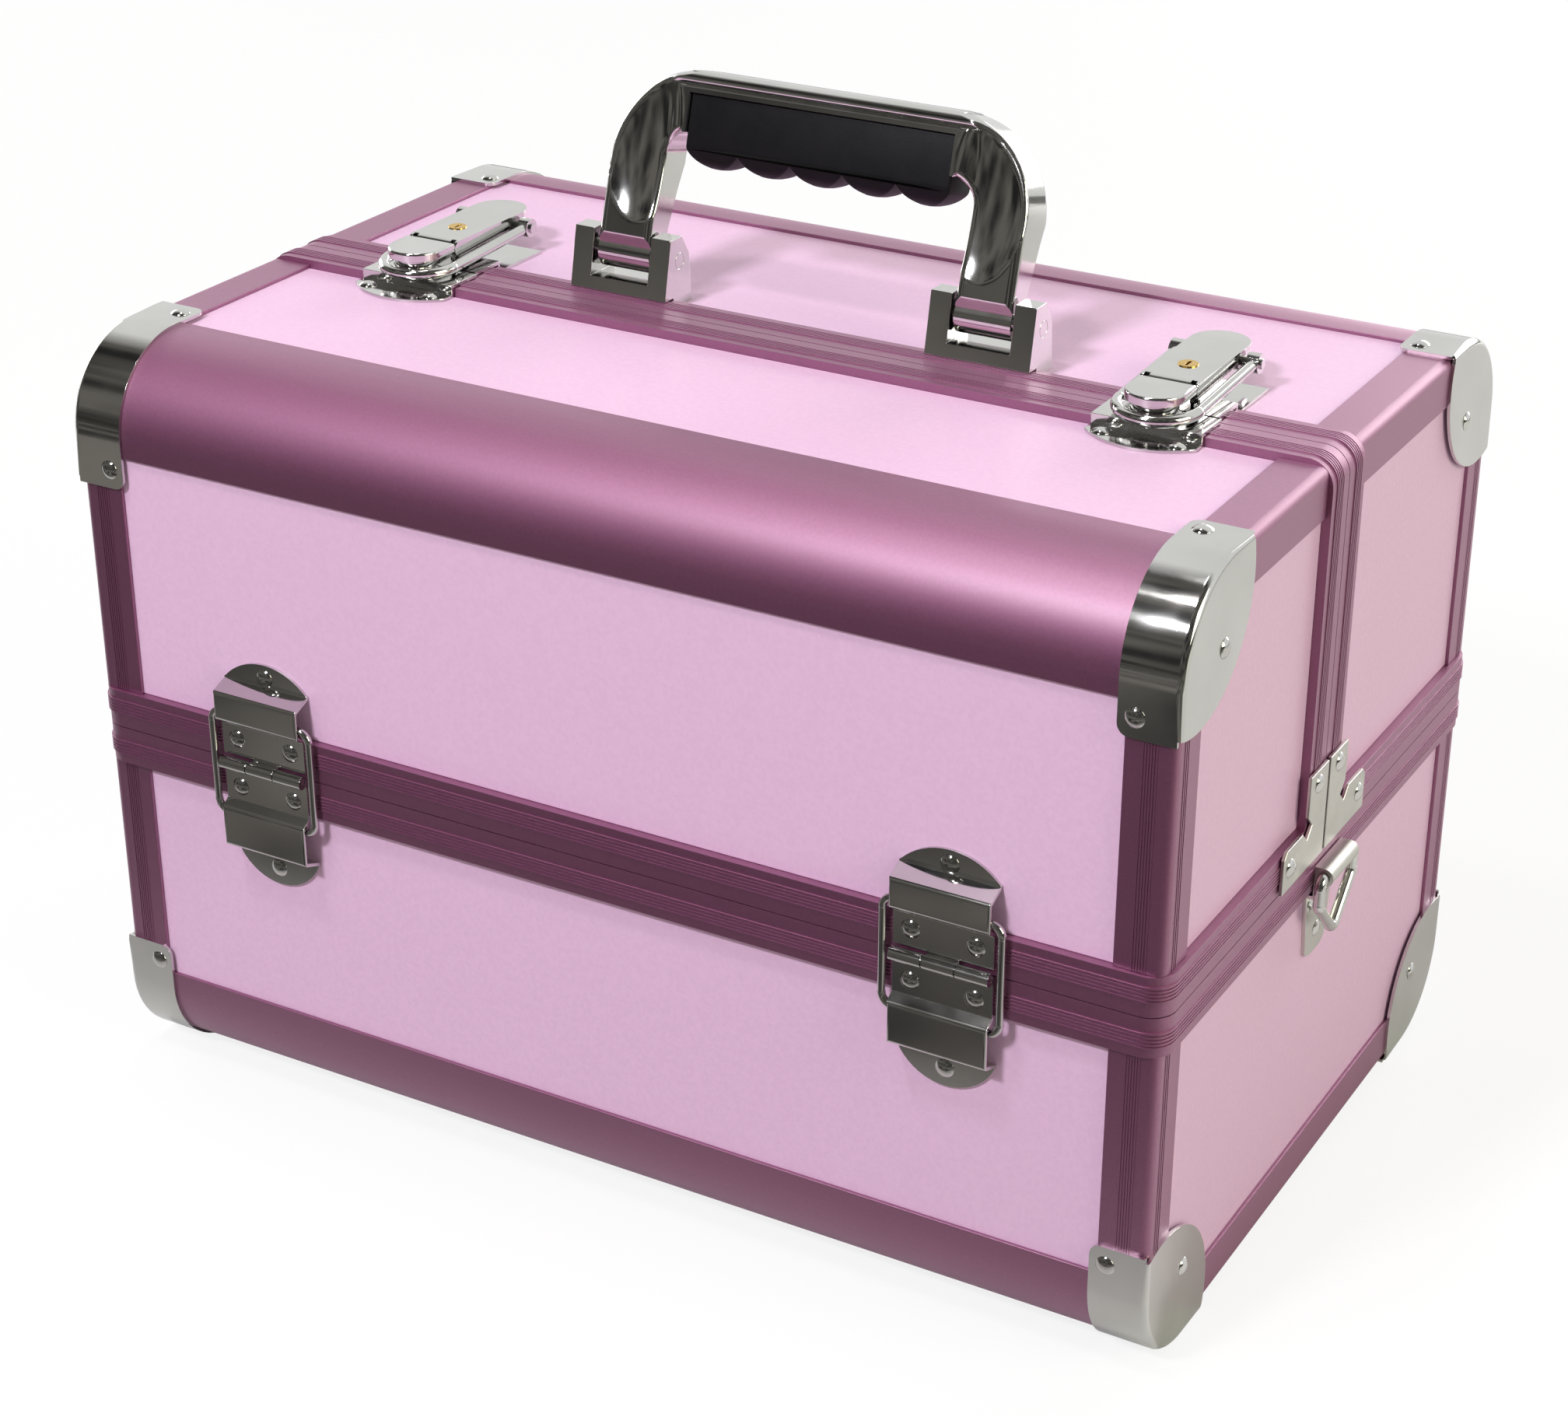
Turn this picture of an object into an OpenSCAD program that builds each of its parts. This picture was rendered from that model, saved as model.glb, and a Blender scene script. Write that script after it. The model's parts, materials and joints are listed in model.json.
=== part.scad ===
// Makeup train case: aluminium-framed vanity box with two lids that part along the top
// and swing outward, four cantilever trays, two draw latches and a carrying handle.
// Millimetres. X runs along the front, Y to the rear, Z up, origin under the middle.

/* [Case] */
// Width over the frame, left to right
case_w = 360; // [340:1:380]
// Depth over the frame, front to rear
case_d = 238; // [230:1:246]
// Height over the frame
case_h = 244; // [240:1:250]
// Height of the belt line where lids and base part
belt_z = 120; // [118:1:122]
// Place of the seam between the lids, behind the middle when positive
seam_y = -10; // [-12:1:-8]

/* [Frame] */
// Radius of the long rounded edges
edge_r = 28; // [26:1:29]
// Straight flange beside the rounded edge
edge_flange = 5; // [4:0.5:6]
// Visible width of the corner posts and end rails
post_w = 15; // [14:0.5:16]
// Rounding of the posts and rails
post_r = 3; // [2:0.5:4]
// Sheet thickness of the extrusions
lip = 1.2; // [1:0.1:1.4]
// Thickness of the laminate boards
board_t = 4; // [3.5:0.5:4]
// Height of one rim extrusion
rim_h = 12.5; // [12:0.5:13]
// How far the rims stand proud of the frame
rim_proud = 1.5; // [1:0.1:1.8]
// Rounding of the rim corners
rim_r = 8; // [6:1:9]
// Thickness of the fabric lining with its board
lining_t = 1.4; // [1:0.2:1.8]

/* [Hardware] */
// Sheet thickness of the corner caps, which are also the feet
cap_t = 1; // [0.8:0.1:1.2]
// Length of a corner cap along each edge
cap_reach = 43; // [40:1:46]
// Width of a corner cap along the long edge
cap_w = 17; // [15:1:19]
// Distance of each hinge from the middle
hinge_x = 116; // [110:1:120]
// Width of a hinge leaf
hinge_w = 31; // [29:1:32]
// Distance of each latch from the middle
latch_x = 126; // [120:1:130]
// Distance of each handle bracket from the middle
bracket_x = 62; // [60:1:64]
// Backward lean of the resting handle, in degrees
handle_lean = 16; // [12:1:18]
// Place of the carrying rings on the end walls
ring_y = -2; // [-6:1:2]

/* [Trays] */
// Half length of a tray
tray_x = 165; // [160:1:165]
// Depth of a tray, front to rear
tray_d = 84; // [78:1:84]
// Height of a tray
tray_h = 30; // [26:1:30]
// Wall of a tray
tray_t = 1.6; // [1.4:0.1:2]

/* [Hidden] */
$fn = 64;
hw = case_w / 2;
hd = case_d / 2;
frame_t = lip + board_t + lip;
board_inset = 2;
gap = 0.15;
lid_z = belt_z + gap;
base_z = belt_z - gap;
rim_top = belt_z + rim_h;
rim_bottom = belt_z - rim_h;
front_depth = hd + seam_y;
rear_depth = hd - seam_y;
ridge_pitch = 1.1;
ridge_first = 4.9;
ridge_count = 5;
ridge_proud = 0.35;
rivet_r = 2.5;
rivet_h = 1.3;
pin_clearance = 0.05;

// hinge: axis, leaf, raised band for the stop ring
hinge_v = -(rim_proud + 2.7);
knuckle_r = 2.1;
hinge_pin_r = 1.1;
leaf_t = 1;
slope_from = 12.9;
slope_to = 15.2;
band_out = -1.9;
// end of the raised band, moon rivet and end of the moon, for the upper and the lower leaf
upper_reach = [24.2, 29.6, 34];
lower_reach = [28, 35.2, 41];
bail_in = 0.5;
bail_half_h = 17.4;
bail_half_w = 18.3;
bail_wire = 1.15;
bail_corner = 4;
bend_swell = 0.05;

// trays and their arms, on the front side; the rear side is mirrored
tray_y = -102;
tray_z = [136, 170];
arm_base_y = [-100, -76];
arm_base_z = 123.25;
arm_reach = [35, 75];
arm_lean = 45;
arm_w = 10;
arm_t = 1.6;
arm_x = tray_x + 0.5;
link_x = arm_x + arm_t + 0.3;
link_t = 1.2;
arm_pin_r = 2;
pin_head_r = 3.4;
pin_head_t = 0.8;

// handle, in its own plane with the pivot at the origin
handle_y = 6.5;
handle_z = case_h + 13;
handle_half_w = 71;
handle_top = 58;
handle_front = -6.5;
handle_back = 10.7;
grip_half = 45;
grip_low = 29;
grip_high = 51;
leg_in = 52.5;
web_low = 39;
handle_pin_r = 2.5;
bracket_w = 34.5;

// latch, around its own centre line
lever_pivot = [-7.5, case_h + 8.9];
lever_nose_r = 2.6;
ear_r = 1.35;
ear_x = 7.2;
loop_pivot = [25, case_h + 7.5];
lever_half_w = 9;
lever_top = case_h + 11.5;
hook_front = -27;
hook_half_w = 9;
loop_front = -27.6;
loop_z = case_h + 5;
hook_neck_top = case_h + 8.6;
hook_lip = 1.6;
loop_wire = 1.7;
loop_half_w = 12;
loop_eye_r = 3;
eye_half = loop_wire + 0.2;
lever_pin_r = 0.9;
latch_pin_r = 1.5;
plug_y = 4;
plug_r = 3;

// carrying ring on the end walls
strap_z = belt_z - 7;
strap_out = hw + rim_proud + 3.4;
strap_t = 1.2;
ring_wire = 1.7;
ring_half_w = 13.4;
ring_drop = 22;
ring_side = 8.5;
ring_bend = 2.6;
sleeve_half = 10.5;

mauve = "#9c5a78";
pink = "#e6bcd6";
chrome = "#c9ccd0";
dark = "#1c1b20";
cloth = "#2a2528";
brass = "#c39a3f";

// The frame stands on the corner caps, so everything is lifted by their thickness.
module lift() { translate([0, 0, cap_t]) children(); }

// Front or rear half: v is measured inward from the outer face of the frame.
module half(rear) {
  if (rear) mirror([0, 1, 0]) translate([0, -hd, 0]) children();
  else translate([0, -hd, 0]) children();
}

module both_ends() {
  children();
  mirror([1, 0, 0]) children();
}

module both_sides(x) {
  for (s = [-1, 1]) translate([s * x, 0, 0]) children();
}

// Draws a shape given in (v, z) and extrudes it along X, from x0 to x1.
module along_x(x0, x1) {
  translate([x0, 0, 0]) rotate([90, 0, 90]) linear_extrude(x1 - x0) children();
}

// Draws a shape given in (x, z) and extrudes it along Y, from y0 to y1.
module along_y(y0, y1) {
  translate([0, y1, 0]) rotate([90, 0, 0]) linear_extrude(y1 - y0) children();
}

module box(x0, x1, y0, y1, z0, z1) {
  translate([x0, y0, z0]) cube([x1 - x0, y1 - y0, z1 - z0]);
}

module rect(x0, x1, y0, y1) {
  translate([x0, y0]) square([x1 - x0, y1 - y0]);
}

module round_rect(x0, x1, y0, y1, r) {
  rect(x0 + r, x1 - r, y0, y1);
  rect(x0, x1, y0 + r, y1 - r);
  for (x = [x0 + r, x1 - r], y = [y0 + r, y1 - r]) translate([x, y]) circle(r);
}

// A pin along X from x0 to x1
module pin_x(x0, x1, y, z, r) {
  translate([x0, y, z]) rotate([0, 90, 0]) cylinder(h = x1 - x0, r = r);
}

// Domed rivet head standing on z = 0
module rivet(r = rivet_r, h = rivet_h) {
  ball = (r * r + h * h) / (2 * h);
  rotate_extrude() intersection() {
    translate([0, h - ball]) circle(ball);
    rect(0, r, 0, h);
  }
}

// Corner extrusion with two slots for boards; arms along +x and +y from the outer corner.
module post_profile() {
  difference() {
    union() {
      rect(post_r, frame_t, 0, frame_t);
      rect(0, frame_t, post_r, frame_t);
      translate([post_r, post_r]) circle(post_r);
    }
    translate([frame_t + 5, frame_t + 5]) square(10, center = true);
  }
  for (k = [0, 1]) mirror(k == 0 ? [0, 0] : [1, -1]) {
    rect(frame_t, post_w, 0, lip);
    rect(frame_t, post_w, lip + board_t, frame_t);
  }
}

// Rounded edge extrusion with a slot for a board on each flange.
module edge_profile() {
  intersection() {
    translate([edge_r, edge_r]) difference() {
      circle(edge_r);
      circle(edge_r - 1.8);
    }
    square(edge_r);
  }
  for (k = [0, 1]) mirror(k == 0 ? [0, 0] : [1, -1]) {
    rect(edge_r, edge_r + edge_flange, 0, lip);
    rect(edge_r - 1.6, edge_r, 0.6, frame_t);
    rect(edge_r - 1.6, edge_r + edge_flange, lip + board_t, frame_t);
  }
}

// Rounded edge along the case; its flanges end at the corner posts.
module long_edge() {
  beyond = edge_r + edge_flange + 1;
  difference() {
    along_x(-hw + frame_t, hw - frame_t) edge_profile();
    both_ends() {
      box(hw - post_w, hw, -1, frame_t + 1, edge_r, beyond);
      box(hw - post_w, hw, edge_r, beyond, -1, frame_t + 1);
    }
  }
}

// The rim's ring seen from above, grown by g
module rim_ring(g) {
  o = rim_proud + g;
  difference() {
    round_rect(-hw - o, hw + o, -hd - o, hd + o, rim_r);
    rect(-hw + frame_t, hw - frame_t, -hd + frame_t, hd - frame_t);
  }
}

// Belt rim: plain band with fine ridges; up is 1 for the lids and -1 for the base.
module belt_rim(up) {
  at = belt_z + up * gap;
  translate([0, 0, up > 0 ? at : belt_z - rim_h]) linear_extrude(rim_h - gap) rim_ring(0);
  for (i = [0 : ridge_count - 1])
    translate([0, 0, belt_z + up * (ridge_first + i * ridge_pitch) - 0.3])
      linear_extrude(0.6) rim_ring(ridge_proud);
}

// Seam arch outline in (x, z), grown by g
module arch_ring(g) {
  o = rim_proud + g;
  difference() {
    union() {
      rect(-hw - o, hw + o, lid_z, case_h + o - rim_r);
      rect(-hw - o + rim_r, hw + o - rim_r, case_h - rim_r, case_h + o);
      for (s = [-1, 1]) translate([s * (hw + o - rim_r), case_h + o - rim_r]) circle(rim_r);
    }
    rect(-hw + frame_t, hw - frame_t, lid_z - 1, case_h - frame_t);
  }
}

// Rim of one lid: half of the belt and the seam arch. The lid lies on the v side of the seam.
module lid_rim(rear) {
  color(mauve) lift() {
    intersection() {
      belt_rim(1);
      if (rear) box(-hw - 9, hw + 9, seam_y + gap, hd + 9, 0, case_h);
      else box(-hw - 9, hw + 9, -hd - 9, seam_y - gap, 0, case_h);
    }
    side = rear ? 1 : -1;
    y0 = rear ? seam_y + gap : seam_y - rim_h;
    along_y(y0, y0 + rim_h - gap) arch_ring(0);
    for (i = [0 : ridge_count - 1]) {
      y = seam_y + side * (ridge_first + i * ridge_pitch);
      along_y(y - 0.3, y + 0.3) difference() {
        arch_ring(ridge_proud);
        rect(-hw - 9, hw + 9, lid_z - 9, rim_top);
      }
    }
  }
}

// Outline of the end of a lid in (v, z), at a distance inside the frame's outer face
module lid_outline(depth, inset, foot_z) {
  r = edge_r - inset;
  rect(inset + r, depth, foot_z, case_h - inset);
  rect(inset, depth, foot_z, case_h - inset - r);
  translate([inset + r, case_h - inset - r]) circle(r);
}

module lid_long_panel(rear) {
  color(pink) lift() half(rear)
    box(-hw + frame_t, hw - frame_t, lip, lip + board_t, rim_top, case_h - edge_r);
}

module lid_top_panel(rear, depth) {
  color(pink) lift() half(rear)
    box(-hw + frame_t, hw - frame_t, edge_r, depth - rim_h, case_h - lip - board_t, case_h - lip);
}

module lid_end_panels(rear, depth) {
  color(pink) lift() half(rear) both_ends()
    along_x(hw - lip - board_t, hw - lip) intersection() {
      lid_outline(depth - rim_h, board_inset, rim_top);
      rect(frame_t, depth - rim_h, rim_top, case_h - frame_t);
    }
}

module lid_round_edge(rear) {
  color(mauve) lift() half(rear) translate([0, 0, case_h]) mirror([0, 0, 1]) long_edge();
}

module lid_end_frames(rear, depth) {
  color(mauve) lift() half(rear) both_ends() {
    translate([hw, 0, rim_top]) linear_extrude(case_h - edge_r - rim_top)
      mirror([1, 0]) post_profile();
    translate([hw, depth - rim_h, case_h]) rotate([90, 0, 0]) linear_extrude(depth - rim_h - edge_r)
      rotate(180) post_profile();
  }
}

module lid_lining(rear, depth) {
  inner = frame_t + lining_t;
  color(cloth) lift() half(rear) difference() {
    along_x(-hw + frame_t, hw - frame_t) lid_outline(depth - gap, frame_t, lid_z);
    along_x(-hw + inner, hw - inner) lid_outline(depth + 1, inner, lid_z - 1);
  }
}

// Pressed corner cap at the outer corner x = 0, v = 0, z = 0, reaching toward +x, +v, +z
module corner_cap() {
  module outline(o) {
    rect(edge_r, cap_reach + 9, -o, cap_reach + 9);
    rect(-o, cap_reach + 9, edge_r, cap_reach + 9);
    translate([edge_r, edge_r]) circle(edge_r + o);
  }
  fan_r = cap_reach - 10;
  intersection() {
    union() {
      along_x(0, cap_w) difference() {
        outline(cap_t);
        outline(0);
      }
      along_x(-cap_t, 0) intersection() {
        outline(cap_t);
        translate([10, 10]) circle(fan_r);
      }
    }
    box(-9, cap_w, -9, cap_reach, -9, cap_reach);
  }
}

module cap_rivets() {
  end = cap_reach - 6;
  inner = cap_w - 5;
  translate([-cap_t, 25, 25]) rotate([0, -90, 0]) rivet();
  translate([inner, -cap_t, end]) rotate([90, 0, 0]) rivet();
  translate([inner, end, -cap_t]) rotate([180, 0, 0]) rivet();
}

// Places a cap-like shape at the corners of one lid, or of the base when up is false
module at_corners(rear, up) {
  half(rear) both_ends() translate([-hw, 0, up ? case_h : 0]) mirror([0, 0, up ? 1 : 0]) children();
}

// Two-armed bracket where the seam meets the belt, drawn for the lid on the -y side of the seam
module corner_bracket() {
  along_x(hw + rim_proud + ridge_proud, hw + rim_proud + ridge_proud + 1.2) difference() {
    rect(-32, -0.8, 0.6, 30.5);
    rect(-40, -rim_h - 2, rim_h + 1.5, 40);
    translate([-rim_h - 2, rim_h + 1.5]) rotate(45) square(5, center = true);
    translate([-32, rim_h + 1.5]) rotate(45) square(3, center = true);
  }
}

module corner_brackets(rear) {
  color(chrome) lift() both_ends() translate([0, seam_y, belt_z])
    mirror([0, rear ? 1 : 0, 0]) corner_bracket();
}

module bracket_rivets(rear) {
  lift() both_ends() translate([0, seam_y, belt_z]) mirror([0, rear ? 1 : 0, 0])
    for (p = [[-8, 26], [-27, 7.5]])
      translate([hw + rim_proud + ridge_proud + 1.2, p[0], p[1]]) rotate([0, 90, 0]) rivet();
}

// Profile of a hinge leaf above its axis, in (v, z) measured from the axis: a flat part on the rim,
// a slope out to the raised band, and a step back to the board.
module leaf_profile(band_to) {
  rim = -hinge_v - rim_proud - ridge_proud;
  board = -hinge_v + lip;
  polygon([
    [rim - leaf_t, knuckle_r + 0.4], [rim - leaf_t, slope_from], [band_out, slope_to],
    [band_out, band_to], [board - leaf_t, band_to + 2.4], [board - leaf_t, band_to + 3],
    [board, band_to + 3], [board, band_to + 1.7], [band_out + leaf_t, band_to - 0.8],
    [band_out + leaf_t, slope_to + 0.6], [rim, slope_from + 0.6], [rim, knuckle_r + 0.4]
  ]);
}

// End of a leaf on the board: a segment of a circle
module half_moon(from, to) {
  rise = to - from;
  r = (hinge_w * hinge_w / 4 + rise * rise) / (2 * rise);
  along_y(-hinge_v + lip - leaf_t, -hinge_v + lip) intersection() {
    rect(-hinge_w / 2, hinge_w / 2, from, to + 1);
    translate([0, to - r]) circle(r);
  }
}

// One hinge leaf on the upper side; middle tells whether it holds the middle knuckle.
module hinge_leaf(middle, reach) {
  k = hinge_w / 6;
  on_rim = -hinge_v - rim_proud - ridge_proud;
  along_x(-hinge_w / 2, hinge_w / 2) leaf_profile(reach[0]);
  half_moon(reach[0] + 2.6, reach[2]);
  for (x = middle ? [0] : [-2 * k, 2 * k]) translate([x, 0, 0]) difference() {
    union() {
      pin_x(-k + 0.15, k - 0.15, 0, 0, knuckle_r);
      box(-k + 0.15, k - 0.15, on_rim - leaf_t, on_rim, 0, knuckle_r + 1);
    }
    pin_x(-k - 1, k + 1, 0, 0, hinge_pin_r + (middle ? pin_clearance : 0.01));
  }
}

module hinges(rear, up) {
  half(rear) both_sides(hinge_x) translate([0, hinge_v, belt_z]) mirror([0, 0, up ? 0 : 1])
    children();
}

module leaf_rivets(reach) {
  on_rim = -hinge_v - rim_proud - ridge_proud - leaf_t;
  on_board = -hinge_v + lip - leaf_t;
  for (x = [-10, 10]) translate([x, on_rim, 8.2]) rotate([90, 0, 0]) rivet();
  translate([0, on_board, reach[1]]) rotate([90, 0, 0]) rivet();
}

// Closed wire through the corner points p, counter-clockwise in the XY plane. The wire swells by
// a hair at its round bends, and the straight lengths reach a little way into them.
module wire_loop(p, bend, r) {
  n = len(p);
  into = 0.3;
  for (i = [0 : n - 1]) {
    b = p[i];
    u = (b - p[(i + n - 1) % n]) / norm(b - p[(i + n - 1) % n]);
    v = (p[(i + 1) % n] - b) / norm(p[(i + 1) % n] - b);
    w = (p[(i + 2) % n] - p[(i + 1) % n]) / norm(p[(i + 2) % n] - p[(i + 1) % n]);
    turn = acos(u * v);
    start = bend * tan(turn / 2);
    end = bend * tan(acos(v * w) / 2);
    translate(b - u * start + bend * [-u[1], u[0]]) rotate(atan2(u[1], u[0]) - 90)
      rotate_extrude(angle = turn) translate([bend, 0]) circle(r + bend_swell);
    translate(b + v * (start - into)) rotate(atan2(v[1], v[0])) rotate([0, 90, 0])
      cylinder(h = norm(p[(i + 1) % n] - b) - start - end + 2 * into, r = r);
  }
}

// Rectangular wire ring that joins the two leaves and stops the lid
module bail() {
  x = bail_half_w;
  z = bail_half_h;
  translate([0, bail_in, 0]) rotate([90, 0, 0])
    wire_loop([[-x, -z], [x, -z], [x, z], [-x, z]], bail_corner, bail_wire);
}

module hinge_bails(rear) {
  color(chrome) lift() hinges(rear, true) bail();
}

module base_wall_panels() {
  color(pink) lift() {
    for (rear = [false, true]) half(rear)
      box(-hw + frame_t, hw - frame_t, lip, lip + board_t, edge_r, rim_bottom);
    both_ends() translate([0, -hd, 0]) along_x(hw - lip - board_t, hw - lip) intersection() {
      rect(frame_t, case_d - frame_t, frame_t, rim_bottom);
      round_rect(board_inset, case_d - board_inset, board_inset, 2 * belt_z, edge_r - board_inset);
    }
  }
}

module base_bottom_panel() {
  color(cloth) lift()
    box(-hw + frame_t, hw - frame_t, -hd + edge_r, hd - edge_r, lip, lip + board_t);
}

module base_bottom_edges() {
  color(mauve) lift() for (rear = [false, true]) half(rear) long_edge();
}

module base_end_frames() {
  color(mauve) lift() both_ends() {
    for (rear = [false, true]) half(rear)
      translate([hw, 0, edge_r]) linear_extrude(rim_bottom - edge_r) mirror([1, 0]) post_profile();
    translate([hw, hd - edge_r, 0]) rotate([90, 0, 0]) linear_extrude(case_d - 2 * edge_r)
      mirror([1, 0]) post_profile();
  }
}

module base_rim() {
  color(mauve) lift() belt_rim(-1);
}

module base_corner_caps() {
  color(chrome) lift() for (rear = [false, true]) at_corners(rear, false) corner_cap();
}

module base_lining() {
  inner = frame_t + lining_t;
  module outline(i, top) {
    intersection() {
      round_rect(i, case_d - i, i, case_h, edge_r - i);
      rect(0, case_d, 0, top);
    }
  }
  color(cloth) lift() translate([0, -hd, 0]) difference() {
    along_x(-hw + frame_t, hw - frame_t) outline(frame_t, base_z);
    along_x(-hw + inner, hw - inner) outline(inner, base_z + 1);
  }
}

module hinge_lower_leaves() {
  color(chrome) lift() for (rear = [false, true]) hinges(rear, false)
    hinge_leaf(false, lower_reach);
}

module hinge_pins() {
  color(chrome) lift() for (rear = [false, true]) hinges(rear, true)
    pin_x(-hinge_w / 2 + 0.3, hinge_w / 2 - 0.3, 0, 0, hinge_pin_r);
}

// Strap plate with a rolled sleeve for the carrying ring; its tongue steps in to the board.
module ring_strap() {
  wall = hw + rim_proud + ridge_proud;
  board = hw - lip;
  step_z = rim_bottom - 1.5;
  sleeve_r = 2.9;
  foot_half = 7.5;
  foot_z = strap_z - 31;
  difference() {
    union() {
      translate([strap_out, -sleeve_half, strap_z]) rotate([-90, 0, 0])
        cylinder(h = 2 * sleeve_half, r = sleeve_r);
      box(wall, strap_out, -sleeve_half, sleeve_half, strap_z, strap_z + sleeve_r);
      box(wall, wall + strap_t, -sleeve_half, sleeve_half, step_z, strap_z + 1);
    }
    translate([strap_out, -20, strap_z]) rotate([-90, 0, 0])
      cylinder(h = 40, r = ring_wire + pin_clearance);
  }
  box(board, wall + strap_t, -sleeve_half, sleeve_half, step_z - strap_t, step_z);
  along_x(board, board + strap_t) intersection() {
    polygon([[-sleeve_half, step_z], [-foot_half, foot_z], [foot_half, foot_z], [sleeve_half, step_z]]);
    round_rect(-sleeve_half, sleeve_half, foot_z, step_z + 20, 8);
  }
}

module ring_straps() {
  color(chrome) lift() both_ends() translate([0, ring_y, 0]) ring_strap();
}

module strap_rivets() {
  both_ends() for (at = [[-6.5, -12], [6.5, -12], [0, -23.5]])
    translate([hw - lip + strap_t, ring_y + at[0], strap_z + at[1]]) rotate([0, 90, 0]) rivet(2.2, 1);
}

// Five-sided wire ring: one side in the sleeve, the point hanging down
module carry_ring() {
  translate([strap_out, ring_y, strap_z]) rotate([90, 0, 90])
    wire_loop([[ring_half_w, 0], [-ring_half_w, 0], [-ring_half_w, -ring_side], [0, -ring_drop],
               [ring_half_w, -ring_side]], ring_bend, ring_wire);
}

module base_rivets() {
  color(chrome) lift() {
    for (rear = [false, true]) {
      at_corners(rear, false) difference() {
        cap_rivets();
        box(0, 60, 0, 60, -9, -cap_t + 0.01);
      }
      hinges(rear, false) leaf_rivets(lower_reach);
    }
    strap_rivets();
  }
}

// Plate on the end lining with the two pivot studs of a pair of arms; its upper part is joggled
// inward, clear of the lid lining.
module arm_bracket() {
  face = hw - frame_t - lining_t;
  y0 = arm_base_y[0] - 7;
  y1 = arm_base_y[1] + 7;
  box(face - 2, face, y0, y1, belt_z - 28, belt_z - 5);
  box(face - 2, face - 0.5, y0, y1, belt_z - 6, belt_z + 9);
  for (y = arm_base_y) {
    pin_x(arm_x + arm_t + 0.2, face - 1, y, arm_base_z, 3);
    pin_x(arm_x - 0.2, face - 1, y, arm_base_z, arm_pin_r);
    pin_x(arm_x - 0.2 - pin_head_t, arm_x - 0.2, y, arm_base_z, pin_head_r);
  }
}

module tray_arm_brackets() {
  color(chrome) lift() both_ends() for (rear = [0, 1]) mirror([0, rear, 0]) arm_bracket();
}

// A point on an arm at rest, as [y, z]
function on_arm(i, reach) =
  [arm_base_y[i] + reach * sin(arm_lean), arm_base_z + reach * cos(arm_lean)];

module arm(i) {
  r = arm_pin_r + pin_clearance;
  long = arm_reach[1];
  difference() {
    translate([arm_x, arm_base_y[i], arm_base_z]) rotate([90 - arm_lean, 0, 0]) rotate([0, 90, 0])
      linear_extrude(arm_t) {
        rect(-arm_w / 2, arm_w / 2, 0, long);
        for (y = [0, long]) translate([0, y]) circle(arm_w / 2);
      }
    pin_x(arm_x - 1, arm_x + arm_t + 1, arm_base_y[i], arm_base_z, r);
    for (reach = arm_reach) {
      p = on_arm(i, reach);
      pin_x(arm_x - 1, arm_x + arm_t + 1, p[0], p[1], r);
    }
  }
}

module arms(rear, i) {
  color(chrome) lift() mirror([0, rear ? 1 : 0, 0]) both_ends() arm(i);
}

// Open tray with its dividers and its pivot pins; level 0 is the lower one.
module tray(rear, level) {
  z = tray_z[level];
  y0 = tray_y;
  y1 = tray_y + tray_d;
  t = tray_t;
  color(pink) lift() mirror([0, rear ? 1 : 0, 0]) {
    difference() {
      box(-tray_x, tray_x, y0, y1, z, z + tray_h);
      box(-tray_x + t, tray_x - t, y0 + t, y1 - t, z + t, z + tray_h + 1);
    }
    for (x = [-tray_x / 3, tray_x / 3])
      box(x - t / 2, x + t / 2, y0 + t, y1 - t, z + t, z + tray_h - 5);
    box(-tray_x + t, -tray_x / 3, -60 - t / 2, -60 + t / 2, z + t, z + tray_h - 5);
    both_ends() for (i = [0, 1]) {
      p = on_arm(i, arm_reach[level]);
      linked = i == 0 && level == 0;
      head = linked ? link_x + link_t + 0.2 : arm_x + arm_t + 0.2;
      pin_x(tray_x - t / 2, head + 0.1, p[0], p[1], arm_pin_r);
      pin_x(head, head + pin_head_t, p[0], p[1], pin_head_r);
    }
  }
}

// The links run from a stud on the lid to the lower pivot of the outer arm, parallel to the
// line from the hinge to the foot of that arm, so arms and lid turn together.
function link_offset() = [arm_base_y[0] + hd - hinge_v, arm_base_z - belt_z];
function stud_at() = on_arm(0, arm_reach[0]) - link_offset();

module link_studs(rear) {
  face = hw - frame_t - lining_t;
  p = stud_at();
  mirror([0, rear ? 1 : 0, 0]) both_ends() {
    pin_x(link_x + link_t + 0.2, face, p[0], p[1], 3);
    pin_x(link_x - 0.2, face - 1, p[0], p[1], arm_pin_r);
    pin_x(link_x - 0.2 - pin_head_t, link_x - 0.2, p[0], p[1], pin_head_r);
  }
}

module lid_link() {
  p = stud_at();
  d = link_offset();
  r = arm_pin_r + pin_clearance;
  difference() {
    translate([link_x, p[0], p[1]]) rotate([atan2(d[1], d[0]), 0, 0]) rotate([90, 0, 90])
      linear_extrude(link_t) {
        rect(0, norm(d), -4, 4);
        for (y = [0, norm(d)]) translate([y, 0]) circle(4);
      }
    for (q = [p, p + d]) pin_x(link_x - 1, link_x + link_t + 1, q[0], q[1], r);
  }
}

module lid_links(rear) {
  color(chrome) lift() mirror([0, rear ? 1 : 0, 0]) both_ends() lid_link();
}

// Handle shapes are drawn in (x, w), w up from the pivot, and leaned back together.
module handle_pose() {
  translate([0, handle_y, handle_z]) rotate([-handle_lean, 0, 0]) children();
}

// Side view of the handle: a straight front, and a back that widens from the foot to the grip
module handle_side() {
  top_r = 5;
  polygon([[handle_front, 5], [handle_front, handle_top - top_r], [handle_back, handle_top - top_r],
           [handle_back, 29], [3.6, 8.5], [4, 0], [-4, 0]]);
  round_rect(handle_front, handle_back, handle_top - 3 * top_r, handle_top, top_r);
}

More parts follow.
